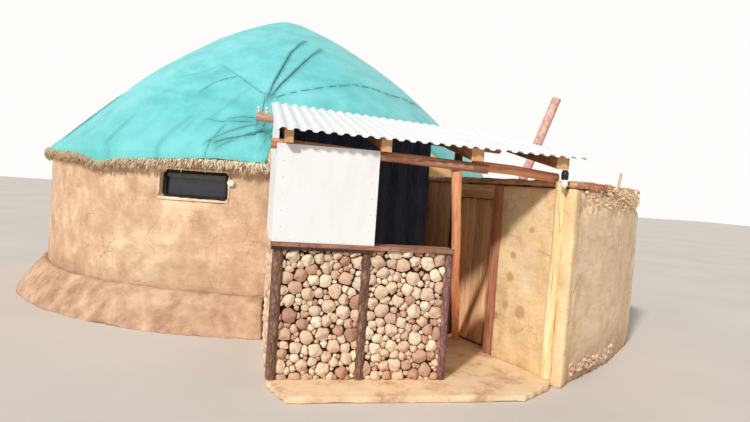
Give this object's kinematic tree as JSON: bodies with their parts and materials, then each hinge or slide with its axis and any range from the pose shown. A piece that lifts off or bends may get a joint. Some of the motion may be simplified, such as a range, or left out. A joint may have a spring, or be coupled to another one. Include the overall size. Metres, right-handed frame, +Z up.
{
  "type": "yurt",
  "caption": "Round mud-walled yurt with a tarpaulin-covered straw dome, a log and cobble porch with a corrugated roof, and a small flat-roofed side room",
  "frame": {"origin": "centre of the outline at ground level", "axes": "+X right along the porch front, +Y back, +Z up; the porch faces -Y"},
  "size_m": [7.6608, 8.905, 4.1551],
  "materials": {
    "mud_plaster": "dull, rough, straw in the plaster",
    "earth": "dull, rough, crumbly",
    "timber": "dull, weathered",
    "orange_log": "dull, peeled and oiled",
    "yellow_log": "dull, freshly peeled",
    "straw": "dull, coarse straw",
    "tarp": "satin, woven plastic sheet",
    "frame_wood": "dull",
    "glass": "smooth",
    "concrete": "dull, trodden",
    "cobble": "dull, rounded stones in mud",
    "white_sheet": "satin white",
    "roof_sheet": "satin white",
    "door_wood": "dull, stained planks",
    "iron": "dull, dark",
    "pipe_rust": "dull, rusted",
    "black_plastic": "dull",
    "white_plastic": "satin",
    "porcelain": "glazed",
    "bulb_glass": "milky"
  },
  "bodies": {
    "building": {"yurt_wall_right": "mud_plaster", "yurt_wall_right_back": "mud_plaster", "yurt_wall_back": "mud_plaster", "yurt_wall_left_back": "mud_plaster", "yurt_wall_left": "mud_plaster", "yurt_wall_front": "mud_plaster", "yurt_wall_at_openings": "mud_plaster", "earth_bank": "earth", "wall_plate": "timber", "crown_ring": "timber", "roof_poles": "timber", "straw_thatch_lower": "straw", "straw_thatch_upper": "straw", "tarp_cover": "tarp", "yurt_frames": "frame_wood", "yurt_window_glass": "glass", "porch_floor": "concrete", "porch_logs": "timber", "front_beams": "timber", "rear_beam": "timber", "rafters": "timber", "cobble_wall_front": "cobble", "cobble_wall_side": "cobble", "window_sill_board": "door_wood", "front_panel": "white_sheet", "side_panel": "white_sheet", "porch_roof_sheet": "roof_sheet", "door_post": "timber", "corner_post": "yellow_log", "leaning_prop": "orange_log", "porch_right_wall": "mud_plaster", "door_jamb": "door_wood", "boards_by_door": "door_wood", "door_pintles": "iron", "side_room_front_wall": "mud_plaster", "side_room_back_wall": "mud_plaster", "side_room_roof": "earth", "side_room_poles": "timber", "stove_pipe": "pipe_rust", "roof_stick": "timber", "lamp_holder": "black_plastic", "lamp_bulb": "bulb_glass", "junction_box": "white_plastic", "insulators": "porcelain"},
    "door_leaf": {"side_door": "door_wood"}
  },
  "joints": [
    {"name": "side_door_hinge", "type": "hinge", "parent": "building", "child": "door_leaf", "pos_m": [1.8895, -3.1488, 0.86], "axis": [0, 0, -1], "range_deg": [0, 85]}
  ]
}
